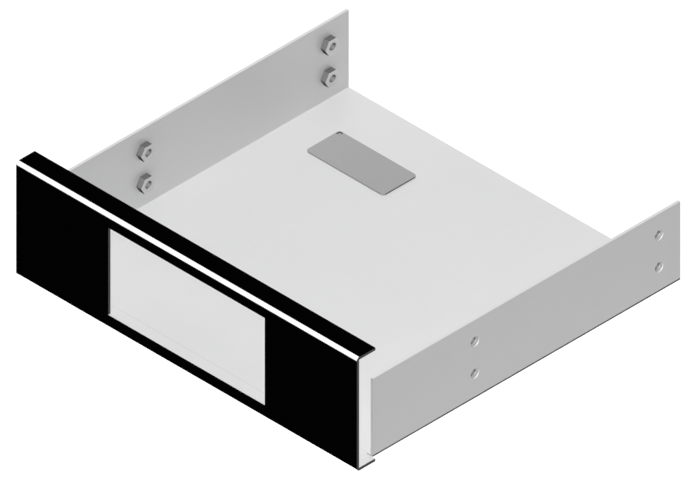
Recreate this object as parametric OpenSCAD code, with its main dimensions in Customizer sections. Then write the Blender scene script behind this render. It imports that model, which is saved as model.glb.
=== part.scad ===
// Tray-shaped mounting frame for a device in a half-height drive bay.
// One steel sheet is punched and folded: a floor with two side walls, a front
// panel with a window, and a return flange along the top of the panel. Eight
// hexagon nuts sit inside the side walls, and a thin plate lies on the floor.
// The front faces -Y, the underside of the floor lies at Z = 0, and the origin
// is at the middle of the footprint.

/* [Sheet] */
// Thickness of the steel sheet
sheet_t = 1; // [0.6:0.1:1.6]
// Radius on the inside of every fold
fold_r = 0.2; // [0.1:0.1:1.5]

/* [Front panel] */
// How far the front panel stands out sideways past each side wall
front_lip = 1.5; // [0.5:0.1:10]
// Height of the front panel from the underside to the top of the flange
front_h = 42.7; // [41:0.1:60]
// Depth of the return flange along the top, from the front face
flange_d = 8.1; // [4:0.1:20]
// Depth of the full-width strip of floor behind the front face
strip_d = 8; // [4:0.5:20]

/* [Window] */
// Width of the window in the front panel
window_w = 68; // [20:1:130]
// Height of the window
window_h = 32.8; // [10:0.1:33]
// Height of the window's sill above the underside
sill_z = 5.05; // [3:0.05:6]

/* [Tray] */
// Width over the outer faces of the side walls
tray_w = 145; // [130:0.5:180]
// Height of the side walls from the underside
wall_h = 30; // [26:0.5:38]
// Depth from the front face to the rear edges
frame_d = 142; // [120:1:200]

/* [Fold relief] */
// Width of the slit between the front strip and the foot of each side wall
relief_w = 0.5; // [0.3:0.1:2]
// How far the slit runs inwards past the fold of the side wall
relief_past_fold = 1.1; // [0.2:0.1:5]

/* [Side holes] */
// Diameter of the screw holes in the side walls
hole_d = 3.7; // [3.2:0.1:4.4]
// Distance from the rear edges to the rear pair of holes
hole_rear_gap = 9.2; // [4:0.1:20]
// Distance between the front and the rear pair of holes
hole_pitch_y = 80; // [60:0.25:90]
// Height of the lower row of holes above the underside
hole_low_z = 9.8; // [7:0.1:14]
// Distance between the lower and the upper row of holes
hole_pitch_z = 12; // [8:0.1:13]

/* [Nuts] */
// Width of each nut across its flats
nut_af = 5.5; // [5:0.1:7]
// Thickness of each nut
nut_t = 2.4; // [1.8:0.1:4]
// Diameter of the tapped bore at the crests of its thread
nut_bore_d = 2.5; // [2:0.05:3]
// Diameter of the round face that the corner chamfer leaves on each nut
nut_face_d = 4.6; // [4:0.1:5]
// Slope of the corner chamfer, measured from the nut's face
nut_chamfer_angle = 15; // [10:1:45]
// Diameter of the bore's lead-in at the free end
nut_mouth_d = 3.2; // [2.6:0.1:3.6]
// Diameter of the bore's lead-in at the collar's end
nut_collar_mouth_d = 3.4; // [2.6:0.1:3.5]
// Length of the collar that each nut sinks into its hole in the wall
nut_collar_l = 0.4; // [0.1:0.1:0.5]
// Play all round the collar in its hole
nut_collar_play = 0.05; // [0.02:0.01:0.1]

/* [Floor plate] */
// Length of the plate, along the front
plate_l = 33.8; // [15:0.1:60]
// Width of the plate, front to rear
plate_w = 14.8; // [8:0.1:40]
// Thickness of the plate
plate_t = 0.5; // [0.2:0.1:1]
// Radius of the plate's corners
plate_corner_r = 1.2; // [0.3:0.1:3]
// Distance from the left wall's inner face to the plate
plate_side_gap = 14.8; // [5:0.1:70]
// Distance from the rear edge of the floor to the plate
plate_rear_gap = 18.8; // [5:0.1:80]

/* [Hidden] */

$fn = 96;
// Overlap that carries a cutter past the face it opens
cut_past = 1;

LEFT = -1;
RIGHT = 1;
FRONT = -1;
REAR = 0;
LOW = 0;
HIGH = 1;

fold_out_r = fold_r + sheet_t;
front_w = tray_w + 2 * front_lip;
front_y = -frame_d / 2;
rear_y = frame_d / 2;
// The side walls start behind the relief slits
tray_y = front_y + strip_d + relief_w;
wall_in_x = tray_w / 2 - sheet_t;
// Half width of the neck of floor that is left between the two slits
neck_x = tray_w / 2 - fold_out_r - relief_past_fold;
hex_corner_d = nut_af / cos(30);
// Height of the corner chamfer where it meets the corners of the hexagon
chamfer_h = (hex_corner_d - nut_face_d) / 2 * tan(nut_chamfer_angle);
// Both lead-ins are cones of 45 degrees
mouth_h = (nut_mouth_d - nut_bore_d) / 2;
collar_mouth_h = (nut_collar_mouth_d - nut_bore_d) / 2;
collar_d = hole_d - 2 * nut_collar_play;

function hole_y(column) = rear_y - hole_rear_gap + column * hole_pitch_y;
function hole_z(row) = hole_low_z + row * hole_pitch_z;

// Section of one fold: a quarter ring that turns from -Y round to -X
module fold_section() {
    intersection() {
        difference() {
            circle(r = fold_out_r);
            circle(r = fold_r);
        }
        translate([-fold_out_r, -fold_out_r])
            square(fold_out_r);
    }
}

// Section of the front, seen from its right end: strip of floor, panel, flange
module front_section() {
    translate([fold_out_r, 0])
        square([strip_d - fold_out_r, sheet_t]);
    translate([fold_out_r, fold_out_r])
        fold_section();
    translate([0, fold_out_r])
        square([sheet_t, front_h - 2 * fold_out_r]);
    translate([fold_out_r, front_h - fold_out_r])
        mirror([0, 1])
            fold_section();
    translate([fold_out_r, front_h - sheet_t])
        square([flange_d - fold_out_r, sheet_t]);
}

// Section of the tray, seen from the front: floor and two side walls
module tray_section() {
    floor_half = tray_w / 2 - fold_out_r;
    translate([-floor_half, 0])
        square([2 * floor_half, sheet_t]);
    for (side = [0, 1])
        mirror([side, 0]) {
            translate([-floor_half, fold_out_r])
                fold_section();
            translate([-tray_w / 2, fold_out_r])
                square([sheet_t, wall_h - fold_out_r]);
        }
}

module front_blank() {
    translate([-front_w / 2, front_y, 0])
        rotate([90, 0, 90])
            linear_extrude(height = front_w)
                front_section();
}

module tray_blank() {
    translate([0, rear_y, 0])
        rotate([90, 0, 0])
            linear_extrude(height = rear_y - tray_y)
                tray_section();
}

// The floor runs through between the slits and ties the front to the tray
module floor_neck() {
    translate([-neck_x, front_y + strip_d, 0])
        cube([2 * neck_x, relief_w, sheet_t]);
}

module window_cut() {
    translate([-window_w / 2, front_y - cut_past, sill_z])
        cube([window_w, sheet_t + 2 * cut_past, window_h]);
}

// One drill goes through both side walls, so that the holes face each other
module side_hole_cuts() {
    for (column = [FRONT, REAR], row = [LOW, HIGH])
        translate([-tray_w / 2 - cut_past, hole_y(column), hole_z(row)])
            rotate([0, 90, 0])
                cylinder(d = hole_d, h = tray_w + 2 * cut_past);
}

module frame() {
    color("silver")
        difference() {
            union() {
                front_blank();
                floor_neck();
                tray_blank();
            }
            window_cut();
            side_hole_cuts();
        }
}

// Envelope of one nut, turned in a lathe: a collar under the seat, full corners
// at the seat, and the corners of the free end broken by a shallow cone
module nut_turning() {
    corner_r = hex_corner_d / 2;
    rotate_extrude()
        polygon([
            [0, -nut_collar_l],
            [collar_d / 2, -nut_collar_l],
            [collar_d / 2, 0],
            [corner_r, 0],
            [corner_r, nut_t - chamfer_h],
            [nut_face_d / 2, nut_t],
            [0, nut_t]
        ]);
}

// One nut with its seat at Z = 0 and a corner of the hexagon towards +X
module hex_nut() {
    nut_l = nut_collar_l + nut_t;
    difference() {
        intersection() {
            translate([0, 0, -nut_collar_l])
                cylinder(d = hex_corner_d, h = nut_l, $fn = 6);
            nut_turning();
        }
        translate([0, 0, -nut_collar_l - cut_past])
            cylinder(d = nut_bore_d, h = nut_l + 2 * cut_past);
        translate([0, 0, -nut_collar_l])
            cylinder(d1 = nut_collar_mouth_d, d2 = nut_bore_d, h = collar_mouth_h);
        translate([0, 0, nut_t - mouth_h])
            cylinder(d1 = nut_bore_d, d2 = nut_mouth_d, h = mouth_h);
    }
}

// A nut seated on the inner face of a side wall, its collar in the wall's hole,
// with two flats level and two corners pointing to the front and the rear
module wall_nut(side, column, row) {
    color("gray")
        translate([side * wall_in_x, hole_y(column), hole_z(row)])
            rotate([0, -side * 90, 0])
                rotate([0, 0, 90])
                    hex_nut();
}

module nut_left_front_low() { wall_nut(LEFT, FRONT, LOW); }
module nut_left_front_high() { wall_nut(LEFT, FRONT, HIGH); }
module nut_left_rear_low() { wall_nut(LEFT, REAR, LOW); }
module nut_left_rear_high() { wall_nut(LEFT, REAR, HIGH); }
module nut_right_front_low() { wall_nut(RIGHT, FRONT, LOW); }
module nut_right_front_high() { wall_nut(RIGHT, FRONT, HIGH); }
module nut_right_rear_low() { wall_nut(RIGHT, REAR, LOW); }
module nut_right_rear_high() { wall_nut(RIGHT, REAR, HIGH); }

// Outline of the plate: a cross of two bars with a disc in each corner
module plate_outline() {
    inset_l = plate_l - 2 * plate_corner_r;
    inset_w = plate_w - 2 * plate_corner_r;
    square([plate_l, inset_w], center = true);
    square([inset_l, plate_w], center = true);
    for (x = [-1, 1], y = [-1, 1])
        translate([x * inset_l / 2, y * inset_w / 2])
            circle(r = plate_corner_r);
}

module floor_plate() {
    plate_x = -wall_in_x + plate_side_gap + plate_l / 2;
    plate_y = rear_y - plate_rear_gap - plate_w / 2;
    color("darkgray")
        translate([plate_x, plate_y, sheet_t])
            linear_extrude(height = plate_t)
                plate_outline();
}

frame();
nut_left_front_low();
nut_left_front_high();
nut_left_rear_low();
nut_left_rear_high();
nut_right_front_low();
nut_right_front_high();
nut_right_rear_low();
nut_right_rear_high();
floor_plate();
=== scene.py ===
"""Visual model of a tray-shaped mounting frame for a device in a half-height bay.

One plated steel sheet is folded into a tray with a black windowed front. Eight
threaded hexagon nuts sit inside the side walls, and a thin grey plate lies on
the floor. Sizes are in millimetres, as in the construction, and meshes in metres.
"""

import logging
import math
from dataclasses import dataclass, field
from enum import Enum

import bpy
import numpy as np
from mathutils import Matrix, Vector


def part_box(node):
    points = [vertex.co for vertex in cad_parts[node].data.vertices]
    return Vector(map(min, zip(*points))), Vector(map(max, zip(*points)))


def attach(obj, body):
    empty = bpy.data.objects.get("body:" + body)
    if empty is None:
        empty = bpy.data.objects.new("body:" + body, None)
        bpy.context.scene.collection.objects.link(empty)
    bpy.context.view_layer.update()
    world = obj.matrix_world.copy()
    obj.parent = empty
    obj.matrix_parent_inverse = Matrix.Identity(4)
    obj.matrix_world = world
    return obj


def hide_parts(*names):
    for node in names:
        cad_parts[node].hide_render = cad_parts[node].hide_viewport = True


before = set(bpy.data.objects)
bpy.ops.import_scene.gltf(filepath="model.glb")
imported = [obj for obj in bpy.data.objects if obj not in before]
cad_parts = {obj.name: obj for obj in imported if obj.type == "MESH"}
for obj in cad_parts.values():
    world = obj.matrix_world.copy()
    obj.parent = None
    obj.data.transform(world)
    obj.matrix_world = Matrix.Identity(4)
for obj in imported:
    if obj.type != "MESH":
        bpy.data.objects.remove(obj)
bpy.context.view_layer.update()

LOG = logging.getLogger("mounting_frame")

MM = 0.001
# Beyond any point of the object, in millimetres, for bands that are open at one end
FAR = 1000.0

Colour = tuple[float, float, float]
Socket = bpy.types.NodeSocket
Feed = Socket | float | Colour


class Side(Enum):
    """Which side wall a nut sits in, as the sign of X."""

    LEFT = -1
    RIGHT = 1


class Wiring:
    """Places nodes in one node tree and joins them."""

    def __init__(self, tree: bpy.types.NodeTree) -> None:
        """Keeps the tree.

        Args:
            tree: the node tree that all nodes of this wiring go into.
        """
        self.tree = tree

    def add(
        self, kind: str, feeds: dict[str | int, Feed] | None = None, **settings: object
    ) -> bpy.types.Node:
        """Adds a node, sets it up and feeds its inputs.

        Args:
            kind: the node's type name.
            feeds: what each named or numbered input gets, a socket or a constant.
            settings: the node's own settings.

        Returns:
            The new node.
        """
        node = self.tree.nodes.new(kind)
        for name, value in settings.items():
            setattr(node, name, value)
        for name, value in (feeds or {}).items():
            self.feed(node.inputs[name], value)
        return node

    def feed(self, socket: Socket, value: Feed) -> None:
        """Links a socket to another or sets its constant.

        Args:
            socket: the input.
            value: an output to link, or a number or colour to set.
        """
        if isinstance(value, bpy.types.NodeSocket):
            self.tree.links.new(value, socket)
        elif isinstance(value, tuple) and len(socket.default_value) == 4:
            socket.default_value = (*value, 1.0)
        else:
            socket.default_value = value

    def math(self, operation: str, *values: Feed) -> Socket:
        """One step of arithmetic on numbers; returns the result's socket."""
        return self.add("ShaderNodeMath", dict(enumerate(values)), operation=operation).outputs[0]

    def group(self, tree: bpy.types.NodeTree, **feeds: Feed) -> bpy.types.Node:
        """Places a shared effect; returns the group node."""
        node = self.tree.nodes.new("ShaderNodeGroup")
        node.node_tree = tree
        for name, value in feeds.items():
            self.feed(node.inputs[name], value)
        return node

    def mix_value(self, share: Feed, low: Feed, high: Feed) -> Socket:
        """Blends two numbers by a mask; returns the result's socket."""
        node = self.add("ShaderNodeMix", data_type="FLOAT")
        for socket, value in zip((node.inputs[0], node.inputs[2], node.inputs[3]), (share, low, high)):
            self.feed(socket, value)
        return node.outputs[0]

    def mix_colour(self, share: Feed, low: Feed, high: Feed) -> Socket:
        """Blends two colours by a mask; returns the result's socket."""
        node = self.add("ShaderNodeMix", data_type="RGBA")
        for socket, value in zip((node.inputs[0], node.inputs[6], node.inputs[7]), (share, low, high)):
            self.feed(socket, value)
        return node.outputs[2]

    def either(self, *masks: Feed) -> Socket:
        """A mask that is on where any of the given masks is."""
        joined = masks[0]
        for mask in masks[1:]:
            joined = self.math("MAXIMUM", joined, mask)
        return joined

    def both(self, *masks: Feed) -> Socket:
        """A mask that is on where all the given masks are."""
        joined = masks[0]
        for mask in masks[1:]:
            joined = self.math("MULTIPLY", joined, mask)
        return joined


class Effects:
    """The shader node groups that several finishes share, each built once."""

    # How many times finer than the pattern beside them the specks and the dust are
    specks_finer: float = 1.7
    dust_finer: float = 5.0

    def __init__(self) -> None:
        """Builds the groups."""
        self.band = self._band()
        self.satin = self._satin()
        self.skin = self._skin()

    @staticmethod
    def _start(
        name: str, inputs: dict[str, float | None], outputs: tuple[str, ...]
    ) -> tuple[Wiring, bpy.types.Node, bpy.types.Node]:
        """Makes an empty group with its sockets.

        Args:
            name: the group's name.
            inputs: each input's default, None for a vector.
            outputs: the names of the outputs, all numbers.

        Returns:
            The group's wiring, its input node and its output node.
        """
        tree = bpy.data.node_groups.new(name, "ShaderNodeTree")
        for label, value in inputs.items():
            kind = "NodeSocketVector" if value is None else "NodeSocketFloat"
            socket = tree.interface.new_socket(name=label, in_out="INPUT", socket_type=kind)
            if value is not None:
                socket.default_value = value
        for label in outputs:
            tree.interface.new_socket(name=label, in_out="OUTPUT", socket_type="NodeSocketFloat")
        return Wiring(tree), tree.nodes.new("NodeGroupInput"), tree.nodes.new("NodeGroupOutput")

    def _band(self) -> bpy.types.NodeTree:
        """A soft-edged band of one coordinate: 1 between Low and High, 0 outside, with ramps Blur wide."""
        inputs = {"Value": 0.0, "Low": 0.0, "High": 1.0, "Blur": 0.02}
        w, given, result = self._start("band", inputs, ("Mask",))
        value, blur = given.outputs["Value"], given.outputs["Blur"]
        rise = w.math("DIVIDE", w.math("SUBTRACT", value, given.outputs["Low"]), blur)
        fall = w.math("DIVIDE", w.math("SUBTRACT", given.outputs["High"], value), blur)
        ramp = w.math("ADD", w.math("MINIMUM", rise, fall), 0.5)
        w.feed(result.inputs["Mask"], w.add("ShaderNodeClamp", {"Value": ramp}).outputs[0])
        return w.tree

    def _satin(self) -> bpy.types.NodeTree:
        """Rolled and plated sheet: fine lines along Y and soft clouds.

        Streaks are noise stretched along Y by Stretch, clouds are noise at
        Cloud times that scale. Shade and Gloss swing about 0.5.
        """
        inputs = {"Place": None, "Fine": 2.5, "Stretch": 0.03, "Cloud": 0.035}
        w, given, result = self._start("satin grain", inputs, ("Shade", "Gloss", "Height"))
        parts = w.add("ShaderNodeSeparateXYZ", {0: given.outputs["Place"]})
        along = w.math("MULTIPLY", parts.outputs["Y"], given.outputs["Stretch"])
        drawn = w.add("ShaderNodeCombineXYZ", {"X": parts.outputs["X"], "Y": along, "Z": parts.outputs["Z"]})
        fine = given.outputs["Fine"]
        streaks = w.add(
            "ShaderNodeTexNoise",
            {"Vector": drawn.outputs[0], "Scale": fine, "Detail": 3.0, "Roughness": 0.6},
        )
        finer = w.math("MULTIPLY", fine, self.specks_finer)
        specks = w.add(
            "ShaderNodeTexNoise",
            {"Vector": given.outputs["Place"], "Scale": finer, "Detail": 2.0},
        )
        wide = given.outputs["Cloud"]
        clouds = w.add(
            "ShaderNodeTexNoise",
            {"Vector": given.outputs["Place"], "Scale": wide, "Detail": 3.0, "Roughness": 0.55},
        )
        lines = streaks.outputs["Fac"]
        w.feed(result.inputs["Shade"], w.mix_value(0.45, lines, clouds.outputs["Fac"]))
        w.feed(result.inputs["Gloss"], w.mix_value(0.4, clouds.outputs["Fac"], specks.outputs["Fac"]))
        w.feed(result.inputs["Height"], w.mix_value(0.35, lines, specks.outputs["Fac"]))
        return w.tree

    def _skin(self) -> bpy.types.NodeTree:
        """Sprayed or moulded skin: rounded pimples, Size to the millimetre, with fine dust between."""
        w, given, result = self._start("sprayed skin", {"Place": None, "Size": 1.4}, ("Shade", "Height"))
        size = given.outputs["Size"]
        pimples = w.add(
            "ShaderNodeTexNoise",
            {"Vector": given.outputs["Place"], "Scale": size, "Detail": 1.0, "Roughness": 0.4},
        )
        finer = w.math("MULTIPLY", size, self.dust_finer)
        dust = w.add(
            "ShaderNodeTexNoise",
            {"Vector": given.outputs["Place"], "Scale": finer, "Detail": 2.0},
        )
        w.feed(result.inputs["Shade"], w.mix_value(0.5, pimples.outputs["Fac"], dust.outputs["Fac"]))
        w.feed(result.inputs["Height"], w.mix_value(0.25, pimples.outputs["Fac"], dust.outputs["Fac"]))
        return w.tree


@dataclass(frozen=True)
class Finish:
    """How one surface looks: its colour, metal, roughness and how far the pattern moves them."""

    colour: Colour
    metallic: float
    roughness: float
    colour_swing: float = 0.04
    roughness_swing: float = 0.12


@dataclass(frozen=True)
class SheetFinishes:
    """The finishes that one folded sheet shows in its different regions.

    Zinc lies under all the others, which the sheet lays over it in LAYERS' order.
    """

    zinc: Finish = Finish((0.73, 0.73, 0.733), 0.22, 0.46)
    # White bare metal along the top fold and the front's foot: real bare metal, its white a painted highlight
    bright_fold: Finish = Finish((1.0, 1.0, 1.0), 0.85, 0.3, 0.0, 0.05)
    # Darker grey on the walls' front cut faces: painted shade on these forward-facing faces.
    front_cut: Finish = Finish((0.5, 0.5, 0.502), 0.22, 0.46)
    cut_hole: Finish = Finish((0.4, 0.4, 0.402), 0.1, 0.4, 0.0, 0.05)
    # White on the lower rear side of the wall holes: a painted highlight.
    bright_hole: Finish = Finish((1.0, 1.0, 1.0), 0.2, 0.4, 0.0, 0.05)
    # Near black along the walls' foot folds: painted shade.
    painted_foot_shade: Finish = Finish((0.03, 0.03, 0.03), 0.0, 0.7)
    # Dark grey on the front's cut edges: their black paint, lighter than the face by a painted sheen.
    edge_paint_sheen: Finish = Finish((0.105, 0.105, 0.105), 0.0, 0.5, 0.1, 0.1)
    paint: Finish = Finish((0.0004, 0.0004, 0.0005), 0.0, 0.55, 0.0, 0.1)


@dataclass(frozen=True)
class NutFinishes:
    """The finishes of one nut.

    It has turned ends, a cone at each mouth of its bore and drawn flanks. Both
    mouths are painted darker than the turned ends as shade in the recess, the
    collar's the darker. The flats that look forward are painted lighter, a
    painted highlight, and those that look down near black, painted shade. Its
    bore is near black, painted shade, and lighter on the side that lies low and
    to the rear, a painted highlight. The edge is the one between the collar's
    cone and the bore; its light grey on that side is a painted highlight.
    """

    turned: Finish = Finish((0.65, 0.65, 0.655), 0.3, 0.42)
    # Both mouths are darker copies of the turned steel, painted shade in the recess; the collar's is darker
    # still.
    mouth: Finish = Finish((0.53, 0.53, 0.532), 0.45, 0.4)
    collar_mouth: Finish = Finish((0.45, 0.45, 0.452), 0.45, 0.4)
    flank: Finish = Finish((0.18, 0.18, 0.182), 0.45, 0.42)
    # Lighter flats that look forward, a painted highlight, and near-black flats that look down, painted
    # shade.
    forward: Finish = Finish((0.225, 0.225, 0.227), 0.45, 0.42)
    underside: Finish = Finish((0.002, 0.002, 0.002), 0.0, 0.7)
    # Near-black bore, painted shade, and the lighter thread finish on its lower rear side, a painted
    # highlight.
    bore: Finish = Finish((0.03, 0.03, 0.03), 0.1, 0.5)
    thread: Finish = Finish((0.6, 0.6, 0.603), 0.4, 0.5)
    # Light grey at the collar's edge on its lower rear side: a painted highlight.
    edge: Finish = Finish((0.85, 0.85, 0.85), 0.15, 0.4, 0.0, 0.05)


class Surface:
    """A material in the making: a Principled shader with its coordinates in millimetres."""

    def __init__(self, name: str, effects: Effects) -> None:
        """Starts an empty material.

        Args:
            name: the material's name.
            effects: the shared node groups.
        """
        self.material = bpy.data.materials.new(name)
        self.material.use_nodes = True
        self.material.node_tree.nodes.clear()
        self.effects = effects
        self.w = Wiring(self.material.node_tree)
        self.shader = self.w.add("ShaderNodeBsdfPrincipled")
        output = self.w.add("ShaderNodeOutputMaterial")
        self.w.feed(output.inputs["Surface"], self.shader.outputs[0])
        self.coordinates = self.w.add("ShaderNodeTexCoord")
        scaled = self.w.add(
            "ShaderNodeVectorMath",
            {0: self.coordinates.outputs["Object"], "Scale": 1.0 / MM},
            operation="SCALE",
        )
        self.place = scaled.outputs[0]
        parts = self.w.add("ShaderNodeSeparateXYZ", {0: self.place})
        self.x, self.y, self.z = parts.outputs["X"], parts.outputs["Y"], parts.outputs["Z"]

    def band(self, value: Feed, low: float = -FAR, high: float = FAR, blur: float = 0.02) -> Socket:
        """A mask that is 1 where a coordinate lies between two values, in millimetres."""
        band = self.w.group(self.effects.band, Value=value, Low=low, High=high, Blur=blur)
        return band.outputs["Mask"]

    # Places the painted highlights inside the wall holes and the nut bores.
    def lower_rear(self, start: float = 0.0, greatest: float = 1.0) -> Socket:
        """A mask for the inside of a hole: 1 on the side that lies low and to the rear, and 0 opposite.

        It follows the cosine between the face's normal and the direction up
        and forward, as (cosine / greatest - start) / (1 - start).

        Args:
            start: the share of the greatest cosine at which the mask begins to rise.
            greatest: the greatest cosine on that face: 1 in a bore, less in a cone.

        Returns:
            The mask.
        """
        facing = self.w.add("ShaderNodeSeparateXYZ", {0: self.coordinates.outputs["Normal"]})
        lean = self.w.math("SUBTRACT", facing.outputs["Z"], facing.outputs["Y"])
        full = math.sqrt(2.0) * greatest
        return self.band(lean, full * (1.0 + start) / 2.0, FAR, full * (1.0 - start))

    def swing(self, middle: float, reach: float, pattern: Socket) -> Socket:
        """A number that swings about its middle with a pattern that swings about a half."""
        factor = self.w.math("MULTIPLY_ADD", pattern, 2.0 * reach, 1.0 - reach)
        return self.w.math("MULTIPLY", factor, middle)

    def tinted(self, finish: Finish, pattern: Socket) -> Socket:
        """The finish's colour, made a little lighter and darker by a pattern."""
        spread = finish.colour_swing
        low = tuple(c * (1.0 - spread) for c in finish.colour)
        high = tuple(c * (1.0 + spread) for c in finish.colour)
        return self.w.mix_colour(pattern, low, high)

    def bump(self, height: Socket, depth_mm: float) -> None:
        """Feeds the shader's Normal from a height pattern of that depth."""
        node = self.w.add("ShaderNodeBump", {"Height": height, "Strength": 1.0, "Distance": depth_mm * MM})
        self.w.feed(self.shader.inputs["Normal"], node.outputs[0])

    def set(self, **inputs: Feed) -> None:
        """Feeds the shader's inputs, named with underscores for spaces."""
        for name, value in inputs.items():
            self.w.feed(self.shader.inputs[name.replace("_", " ")], value)


# The regions over the zinc, from the lowest layer to the top one
LAYERS = ("painted_foot_shade", "front_cut", "bright_fold", "cut_hole", "bright_hole", "edge_paint_sheen", "paint")


@dataclass
class SheetFrame:
    """The folded sheet. Its shape is the construction's own; here it gets its plating and paint.

    The hair is the play by which a mask reaches past a face. A wall's dark foot,
    painted shade along its fold, runs from foot_inner to foot_outer, measured from the wall's outer face.
    """

    front_y: float = -71.0
    half_front: float = 74.0
    height: float = 42.7
    sheet: float = 1.0
    fold_outer: float = 1.2
    flange: float = 8.1
    strip: float = 8.0
    window_half: float = 34.0
    sill: float = 5.05
    window_top: float = 37.85
    paint_creep: float = 0.12
    paint_foot: float = 0.8
    fold_reach: float = 0.7
    wall_out: float = 72.5
    relief: float = 0.5
    hole_bright: float = 0.42
    hole_low: float = 7.0
    hole_high: float = 25.0
    foot_inner: float = -0.95
    foot_outer: float = 0.5
    foot_low: float = 0.3
    foot_high: float = 1.22
    foot_blur: float = 0.06
    hair: float = 0.05
    grain_height: float = 0.12
    skin_depth: float = 0.02
    shine: float = 0.001
    finishes: SheetFinishes = field(default_factory=SheetFinishes)

    def regions(self, s: Surface) -> dict[str, Socket]:
        """Masks for the black paint, the painted highlights and the painted shade, from the place on the
        sheet.

        Args:
            s: the surface whose coordinates the masks read.

        Returns:
            One mask for each region.
        """
        w, hair = s.w, self.hair
        across = w.math("ABSOLUTE", s.x)
        fold_rear = self.front_y + self.fold_outer - self.paint_creep
        fold_foot = self.height - self.fold_outer + self.paint_creep
        walls_front = self.front_y + self.strip + self.relief
        in_panel = s.band(s.y, high=self.front_y + self.sheet + hair)
        face = w.both(s.band(s.y, high=self.front_y + hair), s.band(s.z, self.fold_outer, fold_foot))
        lower_fold = w.both(
            s.band(s.y, high=self.front_y + self.fold_outer / 2.0),
            s.band(s.z, self.paint_foot, self.fold_outer + hair),
            s.band(across, high=self.half_front - hair),
        )
        flange_top = w.both(s.band(s.z, self.height - hair), s.band(s.y, fold_rear))
        # The front's cut edges: paint with a painted sheen, lighter grey than the face.
        ends = s.band(across, self.half_front - hair)
        window_sides = w.both(
            s.band(across, self.window_half - hair, self.window_half + hair),
            s.band(s.z, self.sill + hair, self.window_top + hair),
            in_panel,
        )
        window_head = w.both(
            s.band(s.z, self.window_top - hair, self.window_top + hair),
            s.band(across, high=self.window_half + hair),
            in_panel,
        )
        flange_edge = w.both(
            s.band(s.y, self.front_y + self.flange - hair, self.front_y + self.flange + hair),
            s.band(s.z, self.height - self.sheet - hair),
        )
        # The top fold and the front's foot are bare metal, painted white as a highlight.
        fold_top = w.both(s.band(s.y, high=fold_rear), s.band(s.z, fold_foot))
        foot_front = w.both(
            s.band(s.y, high=self.front_y + self.fold_reach),
            s.band(s.z, high=self.paint_foot + hair),
        )
        hole_walls = w.both(
            s.band(across, self.wall_out - self.sheet + hair, self.wall_out - hair),
            s.band(s.z, self.hole_low, self.hole_high),
            s.band(s.y, self.front_y + self.strip + self.sheet, -self.front_y - self.sheet),
        )
        # The walls' foot folds, painted near black as shade.
        foot_walls = w.both(
            s.band(across, self.wall_out + self.foot_inner, self.wall_out + self.foot_outer),
            s.band(s.z, self.foot_low, self.foot_high, self.foot_blur),
            s.band(s.y, self.front_y + self.strip),
        )
        # The lower rear side of each wall hole near its outer face gets a painted highlight.
        rim = s.band(across, self.wall_out - self.hole_bright)
        return {
            "painted_foot_shade": foot_walls,
            # The walls' front cut faces, painted darker as shade.
            "front_cut": s.band(s.y, walls_front - hair, walls_front + hair),
            "bright_fold": w.either(fold_top, foot_front),
            "cut_hole": hole_walls,
            "bright_hole": w.both(hole_walls, rim, s.lower_rear()),
            "edge_paint_sheen": w.either(ends, window_sides, window_head, flange_edge),
            "paint": w.either(face, lower_fold, flange_top),
        }

    def rolling_place(self, s: Surface) -> Socket:
        """Coordinates that follow the sheet round the front fold and carry its rolling lines up the panel."""
        w = s.w
        in_panel = s.band(s.y, high=self.front_y + self.sheet + 2.0 * self.hair)
        upwards = w.math("SUBTRACT", self.front_y, s.z)
        along = w.mix_value(in_panel, s.y, upwards)
        level = w.mix_value(in_panel, s.z, s.y)
        return w.add("ShaderNodeCombineXYZ", {"X": s.x, "Y": along, "Z": level}).outputs[0]

    def material(self, effects: Effects) -> bpy.types.Material:
        """Zinc plating with a satin roll grain, and paint on the front.

        Args:
            effects: the shared node groups.

        Returns:
            The sheet's material.
        """
        s, f = Surface("plated sheet", effects), self.finishes
        w = s.w
        grain = w.group(effects.satin, Place=self.rolling_place(s))
        skin = w.group(effects.skin, Place=s.place)
        masks = self.regions(s)
        colour = s.tinted(f.zinc, grain.outputs["Shade"])
        rough = s.swing(f.zinc.roughness, f.zinc.roughness_swing, grain.outputs["Gloss"])
        metal: Feed = f.zinc.metallic
        pattern = skin.outputs["Shade"]
        for name in LAYERS:
            finish: Finish = getattr(f, name)
            mask = masks[name]
            other_rough = s.swing(finish.roughness, finish.roughness_swing, pattern)
            colour = w.mix_colour(mask, colour, s.tinted(finish, pattern))
            rough = w.mix_value(mask, rough, other_rough)
            metal = w.mix_value(mask, metal, finish.metallic)
        painted = w.either(masks["paint"], masks["edge_paint_sheen"])
        s.set(Base_Color=colour, Roughness=rough, Metallic=metal, Specular_IOR_Level=self.shine)
        fine = w.math("MULTIPLY", grain.outputs["Height"], self.grain_height)
        s.bump(w.mix_value(painted, fine, skin.outputs["Height"]), self.skin_depth)
        return s.material

    def build(self, effects: Effects) -> None:
        """Dresses the construction's sheet."""
        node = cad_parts["frame"]
        dress(node, self.material(effects))
        LOG.info("frame: dressed, %d faces", len(node.data.polygons))


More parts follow.
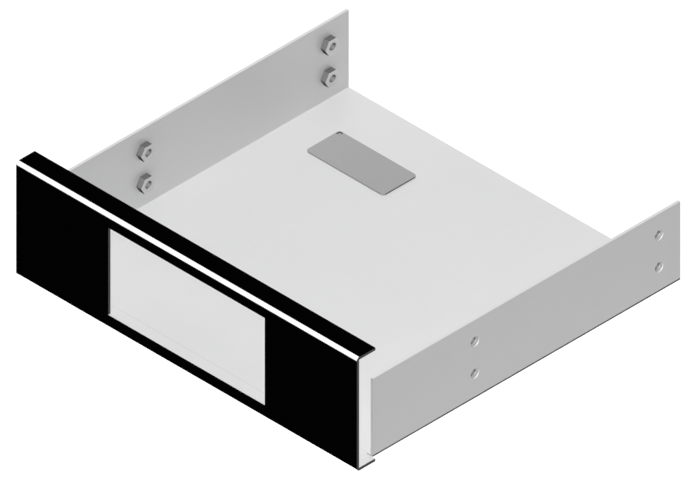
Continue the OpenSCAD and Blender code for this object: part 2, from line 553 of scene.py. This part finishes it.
@dataclass
class WallNut:
    """One hexagon nut on the inner face of a side wall, with a real thread in its bore."""

    node: str
    side: Side
    flats: float = 5.5
    thickness: float = 2.4
    face_r: float = 2.3
    chamfer_slope: float = 15.0
    collar: float = 0.4
    collar_r: float = 1.8
    thread_major_r: float = 1.5
    thread_minor_r: float = 1.25
    pitch: float = 0.5
    mouth_r: float = 1.6
    collar_mouth_r: float = 1.7
    corner_power: float = 90.0
    crest_share: float = 0.25
    root_share: float = 0.125
    columns: int = 96
    rows_per_turn: int = 8
    face_rings: int = 3
    sharp_angle: float = 24.0

    def angles(self) -> np.ndarray:
        """Angles round the axis: in each sixth they follow a sine, so that they crowd at the corners."""
        sixth = self.columns // 6
        t = np.linspace(-1.0, 1.0, sixth, endpoint=False)
        within = 30.0 + 30.0 * np.sin(t * np.pi / 2.0)
        return np.radians((np.arange(6)[:, None] * 60.0 + within).ravel())

    def flank_radius(self, turn: np.ndarray) -> np.ndarray:
        """Distance to the flanks: a high power mean of the six flats, which rounds the corners a little.

        Each flat's share is the cosine of the angle to it, over half the
        width across flats; shares below nought count as nought.
        """
        normals = np.radians(30.0 + 60.0 * np.arange(6))
        share = np.clip(np.cos(turn[:, None] - normals), 0.0, None) / (self.flats / 2.0)
        return (share**self.corner_power).sum(1) ** (-1.0 / self.corner_power)

    def thread_radius(self, depth: np.ndarray, turn: np.ndarray) -> np.ndarray:
        """Radius of the bore: a helical trapezium wave, opened by a cone at both mouths.

        The wave's phase is depth over pitch less the share of a turn. Its crest
        is a quarter of the pitch wide, its root an eighth, and its sides straight.
        """
        phase = (depth / self.pitch - turn / (2.0 * np.pi)) % 1.0
        away = np.abs(2.0 * phase - 1.0)
        sides = 1.0 - self.crest_share - self.root_share
        rise = np.clip((away - self.crest_share) / sides, 0.0, 1.0)
        wave = self.thread_minor_r + rise * (self.thread_major_r - self.thread_minor_r)
        near_cone = self.collar_mouth_r - (depth + self.collar)
        far_cone = self.mouth_r - (self.thickness - depth)
        return np.maximum(wave, np.maximum(near_cone, far_cone))

    def profile(self) -> tuple[np.ndarray, np.ndarray, np.ndarray, np.ndarray]:
        """The closed section at every angle, as a grid of depths and radii.

        It runs up the bore from the collar's end, out over the free face,
        down the chamfer cone and the flank, in over the seat and down the
        collar.

        Returns:
            Depths from the wall, radii, angles, and each row's material: 0 for
            the turned ends, 1 for the flanks, 2 for the bore, 3 for its mouth at
            the free end and 4 for the one in the collar.
        """
        turn = self.angles()[None, :]
        flank = self.flank_radius(turn[0])[None, :]
        slope = math.tan(math.radians(self.chamfer_slope))
        length = self.thickness + self.collar
        bore_rows = int(round(length / self.pitch * self.rows_per_turn)) + 1
        bore_depth = np.linspace(-self.collar, self.thickness, bore_rows)[:, None] + 0.0 * turn
        bore_r = self.thread_radius(bore_depth, turn)
        face_r = np.linspace(self.mouth_r, self.face_r, self.face_rings + 1)[1:, None] + 0.0 * turn
        face_depth = np.full_like(face_r, self.thickness)
        share = np.array([0.5, 1.0])[:, None]
        cone_r = self.face_r + share * (flank - self.face_r)
        cone_depth = self.thickness - (cone_r - self.face_r) * slope
        side_r = np.repeat(flank, 2, axis=0)
        side_depth = cone_depth[-1] * np.array([0.5, 0.0])[:, None]
        seat_r = self.collar_r + np.array([0.5, 0.0])[:, None] * (flank - self.collar_r)
        seat_depth = np.zeros_like(seat_r)
        collar_r = np.full_like(turn, self.collar_r)
        collar_depth = np.full_like(turn, -self.collar)
        depth = np.vstack([bore_depth, face_depth, cone_depth, side_depth, seat_depth, collar_depth])
        radius = np.vstack([bore_r, face_r, cone_r, side_r, seat_r, collar_r])
        material = np.zeros(len(depth), dtype=np.int32)
        cone_top = self.thickness - (self.mouth_r - self.thread_minor_r)
        cone_foot = self.collar_mouth_r - self.thread_minor_r - self.collar
        material[: bore_rows - 1] = 2
        material[: bore_rows - 1][bore_depth[1:, 0] > cone_top] = 3
        material[: bore_rows - 1][bore_depth[:-1, 0] < cone_foot] = 4
        flank_row = len(bore_r) + len(face_r) + len(cone_r) - 1
        material[flank_row : flank_row + 2] = 1
        return depth, radius, np.broadcast_to(turn, depth.shape), material

    def mesh(self) -> bpy.types.Mesh:
        """The nut's mesh, at its place on the wall.

        The axis points from the wall into the tray, the first cross direction
        along Y and the second up, right-handed on both sides.

        Returns:
            A closed mesh whose rows each use their own material slot.
        """
        low, high = (np.array(corner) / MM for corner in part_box(self.node))
        middle = (low + high) / 2.0
        inwards = -float(self.side.value)
        collar_end = high[0] if self.side is Side.RIGHT else low[0]
        seat = collar_end + inwards * self.collar
        depth, radius, turn, material = self.profile()
        places = np.stack(
            [
                seat + inwards * depth,
                middle[1] + inwards * radius * np.cos(turn),
                middle[2] + radius * np.sin(turn),
            ],
            axis=-1,
        )
        mesh = grid_mesh(self.node.replace("nut", "hex_nut"), places * MM, closed=True)
        mesh.polygons.foreach_set("material_index", np.repeat(material, depth.shape[1]))
        mesh.set_sharp_from_angle(angle=math.radians(self.sharp_angle))
        return mesh

    def build(self, *metals: bpy.types.Material) -> None:
        """Builds the nut in place of the construction's plain one.

        Args:
            metals: the steel of the turned ends, the six flats, the bore and its two mouths.
        """
        mesh = self.mesh()
        piece = bpy.data.objects.new(mesh.name, mesh)
        bpy.context.scene.collection.objects.link(piece)
        dress(piece, *metals)
        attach(piece, "root")
        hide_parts(self.node)
        LOG.info("%s: %d faces", piece.name, len(mesh.polygons))


@dataclass
class NutSet:
    """The eight nuts: four on each wall.

    A flat looks forward or down where that part of its normal is below
    forward_turn or down_turn. The painted highlight at the collar's edge lies
    between edge_inner and edge_outer, across the frame from its middle.
    """

    edge_inner: float = 71.15
    edge_outer: float = 71.62
    edge_start: float = 0.85
    edge_blur: float = 0.1
    bore_light_start: float = 0.3
    forward_turn: float = -0.4
    down_turn: float = -0.3
    turn_blur: float = 0.1
    grain_depth: float = 0.004
    dull_shine: float = 0.1
    finishes: NutFinishes = field(default_factory=NutFinishes)

    def metal(
        self,
        name: str,
        finish: Finish,
        effects: Effects,
        shine: float = 0.5,
        flats: bool = False,
        lit_lower_rear: bool = False,
        highlight_cosine: float = 0.0,
    ) -> bpy.types.Material:
        """A nut's satin steel.

        Args:
            name: the material's name.
            finish: the steel's finish.
            effects: the shared node groups.
            shine: the specular level, the same all over.
            flats: whether the flats that look forward get a painted highlight and those that look down
                painted shade.
            lit_lower_rear: whether the lower rear side gets the lighter thread finish, a painted highlight.
            highlight_cosine: the greatest cosine of a face that has the painted highlight at the collar's
                edge, or 0 for none.

        Returns:
            The material.
        """
        s = Surface(name, effects)
        w = s.w
        grain = w.group(effects.satin, Place=s.place, Fine=6.0, Stretch=1.0, Cloud=0.4)
        colour: Feed = s.tinted(finish, grain.outputs["Shade"])
        metal: Feed = finish.metallic
        # The bore's lower rear side is painted lighter as highlight; the rest stays near black as shade.
        if lit_lower_rear:
            thread, cut = self.finishes.thread, s.lower_rear(self.bore_light_start)
            colour = w.mix_colour(cut, colour, s.tinted(thread, grain.outputs["Shade"]))
            metal = w.mix_value(cut, metal, thread.metallic)
        # A painted highlight on the lower rear side of the collar's edge.
        if highlight_cosine:
            edge, across = self.finishes.edge, w.math("ABSOLUTE", s.x)
            near_edge = s.band(across, self.edge_inner, self.edge_outer, self.edge_blur)
            mask = w.both(near_edge, s.lower_rear(self.edge_start, highlight_cosine))
            colour = w.mix_colour(mask, colour, s.tinted(edge, grain.outputs["Shade"]))
            metal = w.mix_value(mask, metal, edge.metallic)
        # Flats that look forward are painted lighter as highlight, and those that look down near black as
        # shade.
        if flats:
            facing = w.add("ShaderNodeSeparateXYZ", {0: s.coordinates.outputs["Normal"]})
            for axis, turn, other in (
                ("Y", self.forward_turn, self.finishes.forward),
                ("Z", self.down_turn, self.finishes.underside),
            ):
                mask = s.band(facing.outputs[axis], high=turn, blur=self.turn_blur)
                colour = w.mix_colour(mask, colour, s.tinted(other, grain.outputs["Shade"]))
                metal = w.mix_value(mask, metal, other.metallic)
        s.set(
            Base_Color=colour,
            Roughness=s.swing(finish.roughness, finish.roughness_swing, grain.outputs["Gloss"]),
            Metallic=metal,
            Specular_IOR_Level=shine,
        )
        s.bump(grain.outputs["Height"], self.grain_depth)
        return s.material

    def build(self, effects: Effects) -> None:
        """Builds all the nuts with five shared metals; the collar's mouth is a cone of 45 degrees."""
        f, dull = self.finishes, self.dull_shine
        cone = math.sqrt(0.5)
        turned = self.metal("nut end", f.turned, effects)
        flank = self.metal("nut flank", f.flank, effects, shine=dull, flats=True)
        bore = self.metal("nut bore", f.bore, effects, shine=dull, lit_lower_rear=True, highlight_cosine=1.0)
        mouth = self.metal("nut mouth", f.mouth, effects)
        collar_mouth = self.metal("nut collar mouth", f.collar_mouth, effects, highlight_cosine=cone)
        metals = (turned, flank, bore, mouth, collar_mouth)
        for side in Side:
            for column in ("front", "rear"):
                for row in ("low", "high"):
                    WallNut(f"nut_{side.name.lower()}_{column}_{row}", side).build(*metals)


@dataclass
class FloorPlate:
    """The thin grey plate on the floor, with a dark corner mark.

    Its right side is painted darker as shade, and its front side a share of that.
    """

    colour: Finish = Finish((0.365, 0.364, 0.366), 0.0, 0.62, 0.03, 0.1)
    # Darker grey of the right side, and a share of it on the front side: painted shade.
    side: Finish = Finish((0.14, 0.14, 0.142), 0.0, 0.62, 0.03, 0.1)
    mark: Finish = Finish((0.055, 0.043, 0.053), 0.0, 0.55, 0.05, 0.1)
    front_share: float = 0.6
    mark_inset: float = 0.6
    mark_width: float = 0.6
    mark_length: float = 1.6
    mark_blur: float = 0.08
    pimples_per_mm: float = 2.2
    skin_depth: float = 0.01
    hair: float = 0.05
    shine: float = 0.3

    def material(self, effects: Effects) -> bpy.types.Material:
        """Matt grey skin with two short dark bars along the edges of its rear left corner.

        Args:
            effects: the shared node groups.

        Returns:
            The plate's material.
        """
        low, high = (np.array(corner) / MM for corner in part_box("floor_plate"))
        s = Surface("plate grey", effects)
        w = s.w
        skin = w.group(effects.skin, Place=s.place, Size=self.pimples_per_mm)
        inwards_x = w.math("SUBTRACT", s.x, float(low[0]))
        inwards_y = w.math("SUBTRACT", float(high[1]), s.y)
        inner = self.mark_inset - self.mark_width / 2.0
        outer = self.mark_inset + self.mark_width / 2.0
        reach = inner + self.mark_length
        bars = [
            w.both(s.band(a, inner, outer, self.mark_blur), s.band(b, inner, reach, self.mark_blur))
            for a, b in ((inwards_x, inwards_y), (inwards_y, inwards_x))
        ]
        mark = w.either(*bars)
        pattern = skin.outputs["Shade"]
        # The sides get painted shade: the right side in full, the front side in part.
        right_side = s.band(s.x, float(high[0]) - self.hair)
        front_side = s.band(s.y, high=float(low[1]) + self.hair)
        shaded_sides = w.either(right_side, w.math("MULTIPLY", front_side, self.front_share))
        plain = w.mix_colour(shaded_sides, s.tinted(self.colour, pattern), s.tinted(self.side, pattern))
        s.set(
            Base_Color=w.mix_colour(mark, plain, s.tinted(self.mark, pattern)),
            Roughness=s.swing(self.colour.roughness, self.colour.roughness_swing, pattern),
            Specular_IOR_Level=self.shine,
        )
        s.bump(skin.outputs["Height"], self.skin_depth)
        return s.material

    def build(self, effects: Effects) -> None:
        """Dresses the construction's plate."""
        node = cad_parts["floor_plate"]
        dress(node, self.material(effects))
        LOG.info("floor_plate: dressed, %d faces", len(node.data.polygons))


@dataclass
class Studio:
    """Pale floor, soft plain light and the isometric camera.

    A lamp's level is how bright a white face turned to it gets, and its width
    is in degrees. The floor's half width and the camera's distance are in metres.
    """

    azimuth: float = 45.0
    elevation: float = 35.264
    picture_width: int = 690
    pixels_per_mm: float = 3.2558
    middle: tuple[float, float, float] = (-15.795, 13.658, 0.0)
    camera_distance: float = 1.5
    floor_half: float = 6.0
    floor_drop: float = 0.05
    floor_colour: float = 0.5
    floor_glow: float = 0.6
    sky_level: float = 0.12
    soft_level: float = 0.12
    top_level: float = 0.642
    side_level: float = 0.157
    front_level: float = 0.5
    fold_level: float = 0.1
    soft_width: float = 50.0
    plain_width: float = 20.0
    fold_width: float = 6.0
    clip: tuple[float, float] = (0.01, 30.0)

    def seen(self, w: Wiring) -> Socket:
        """1 for the rays that show the background: from the camera, and by gloss or through glass."""
        path = w.add("ShaderNodeLightPath")
        names = ("Is Camera Ray", "Is Glossy Ray", "Is Transmission Ray")
        return w.either(*(path.outputs[name] for name in names))

    def world(self) -> None:
        """A plain white sky, full for rays that show it and weaker as a lamp."""
        world = bpy.data.worlds.new("plain sky")
        bpy.context.scene.world = world
        world.use_nodes = True
        world.node_tree.nodes.clear()
        w = Wiring(world.node_tree)
        strength = w.mix_value(self.seen(w), self.sky_level, 1.0)
        sky = w.add("ShaderNodeBackground", {"Color": (1.0, 1.0, 1.0), "Strength": strength})
        w.feed(w.add("ShaderNodeOutputWorld").inputs["Surface"], sky.outputs[0])

    def floor(self) -> None:
        """A wide pale floor that keeps a soft shadow and can be looked through from below."""
        half = self.floor_half
        across = np.array([-half, half])
        x, y = np.meshgrid(across, across)
        places = np.stack([x, y, np.full_like(x, -self.floor_drop * MM)], axis=-1)
        mesh = grid_mesh("floor", places, closed=False)
        floor = bpy.data.objects.new("floor", mesh)
        bpy.context.scene.collection.objects.link(floor)
        material = bpy.data.materials.new("pale floor")
        material.use_nodes = True
        material.node_tree.nodes.clear()
        w = Wiring(material.node_tree)
        level = self.floor_colour
        matt = w.add("ShaderNodeBsdfDiffuse", {"Color": (level, level, level)})
        shown = w.math("MULTIPLY", self.seen(w), self.floor_glow)
        glow = w.add("ShaderNodeEmission", {"Color": (1.0, 1.0, 1.0), "Strength": shown})
        lit = w.add("ShaderNodeAddShader", {0: matt.outputs[0], 1: glow.outputs[0]})
        clear = w.add("ShaderNodeBsdfTransparent")
        below = w.add("ShaderNodeNewGeometry").outputs["Backfacing"]
        either_side = w.add("ShaderNodeMixShader", {0: below, 1: lit.outputs[0], 2: clear.outputs[0]})
        w.feed(w.add("ShaderNodeOutputMaterial").inputs["Surface"], either_side.outputs[0])
        dress(floor, material)

    def lamp(
        self,
        name: str,
        towards: tuple[float, float, float],
        level: float,
        width: float,
        shadow: bool = False,
        gloss: bool = False,
    ) -> None:
        """Adds a far lamp.

        Args:
            name: the lamp's name.
            towards: direction from the object to the lamp.
            level: how bright a white face turned to it gets.
            width: how wide the lamp looks, in degrees.
            shadow: whether it casts a shadow.
            gloss: whether metal mirrors it.
        """
        light = bpy.data.lights.new(name, "SUN")
        light.energy = math.pi * level
        light.angle = math.radians(width)
        light.use_shadow = shadow
        lamp = bpy.data.objects.new(name, light)
        lamp.rotation_euler = Vector(towards).to_track_quat("Z", "Y").to_euler()
        lamp.location = Vector(towards).normalized() * self.camera_distance
        lamp.visible_glossy = gloss
        bpy.context.scene.collection.objects.link(lamp)

    def camera(self) -> None:
        """The parallel camera at the photograph's angle and scale."""
        a, e = math.radians(self.azimuth), math.radians(self.elevation)
        back = Vector((math.sin(a) * math.cos(e), -math.cos(a) * math.cos(e), math.sin(e)))
        lens = bpy.data.cameras.new("isometric view")
        lens.type = "ORTHO"
        lens.ortho_scale = self.picture_width / self.pixels_per_mm * MM
        lens.clip_start, lens.clip_end = self.clip
        camera = bpy.data.objects.new("isometric view", lens)
        camera.location = Vector(self.middle) * MM + back * self.camera_distance
        camera.rotation_euler = back.to_track_quat("Z", "Y").to_euler()
        bpy.context.scene.collection.objects.link(camera)
        bpy.context.scene.camera = camera

    def build(self) -> None:
        """Sets up camera, floor, sky and lamps."""
        self.camera()
        self.world()
        self.floor()
        up = (0.0, 0.0, 1.0)
        self.lamp("soft overhead lamp", up, self.soft_level, self.soft_width, shadow=True)
        self.lamp("plain overhead lamp", up, self.top_level, self.plain_width)
        self.lamp("fold lamp", (-1.0, -1.0, 1.0), self.fold_level, self.fold_width, gloss=True)
        for name, towards, level in (
            ("right lamp", (1.0, 0.0, 0.0), self.side_level),
            ("left lamp", (-1.0, 0.0, 0.0), self.side_level),
            ("front lamp", (0.0, -1.0, 0.0), self.front_level),
            ("rear lamp", (0.0, 1.0, 0.0), self.side_level),
        ):
            self.lamp(name, towards, level, self.plain_width)
        bpy.context.scene.view_settings.view_transform = "Standard"
        LOG.info("studio: camera, floor, sky and seven lamps")


def grid_mesh(name: str, places: np.ndarray, closed: bool) -> bpy.types.Mesh:
    """Turns a grid of points into a mesh of quads with its faces outwards.

    Point (i, j) joins its neighbours in the next row and column. A closed grid
    wraps in both directions, as a ring does.

    Args:
        name: the mesh's name.
        places: points in metres, rows by columns by three.
        closed: whether the grid wraps round.

    Returns:
        The mesh, shaded smooth.
    """
    rows, columns = places.shape[:2]
    i = np.arange(rows if closed else rows - 1)[:, None]
    j = np.arange(columns if closed else columns - 1)[None, :]
    down, right = (i + 1) % rows, (j + 1) % columns
    here, below = i * columns, down * columns
    corners = np.stack([here + j, here + right, below + right, below + j], axis=-1)
    quads = corners.reshape(-1, 4)
    points = places.reshape(-1, 3)
    a, b, c, d = (points[quads[:, k]] for k in range(4))
    if closed:
        spread = np.cross(c - a, d - b) / 2.0
        volume = (spread * (a + b + c + d) / 4.0).sum() / 3.0
        turned = volume < 0.0
    else:
        turned = np.cross(b - a, d - a)[:, 2].sum() < 0.0
    if turned:
        quads = quads[:, ::-1]
    mesh = bpy.data.meshes.new(name)
    mesh.from_pydata(points.tolist(), [], quads.tolist())
    mesh.polygons.foreach_set("use_smooth", np.full(len(quads), closed))
    mesh.update()
    return mesh


def dress(piece: bpy.types.Object, *materials: bpy.types.Material) -> None:
    """Gives a piece its materials, in the order of its slots."""
    if piece.data.materials:
        piece.data.materials.clear()
    for material in materials:
        piece.data.materials.append(material)


def main() -> None:
    """Builds the model piece by piece."""
    logging.basicConfig(level=logging.INFO, format="%(message)s", force=True)
    effects = Effects()
    Studio().build()
    SheetFrame().build(effects)
    NutSet().build(effects)
    FloorPlate().build(effects)


if __name__ == "__main__":
    main()
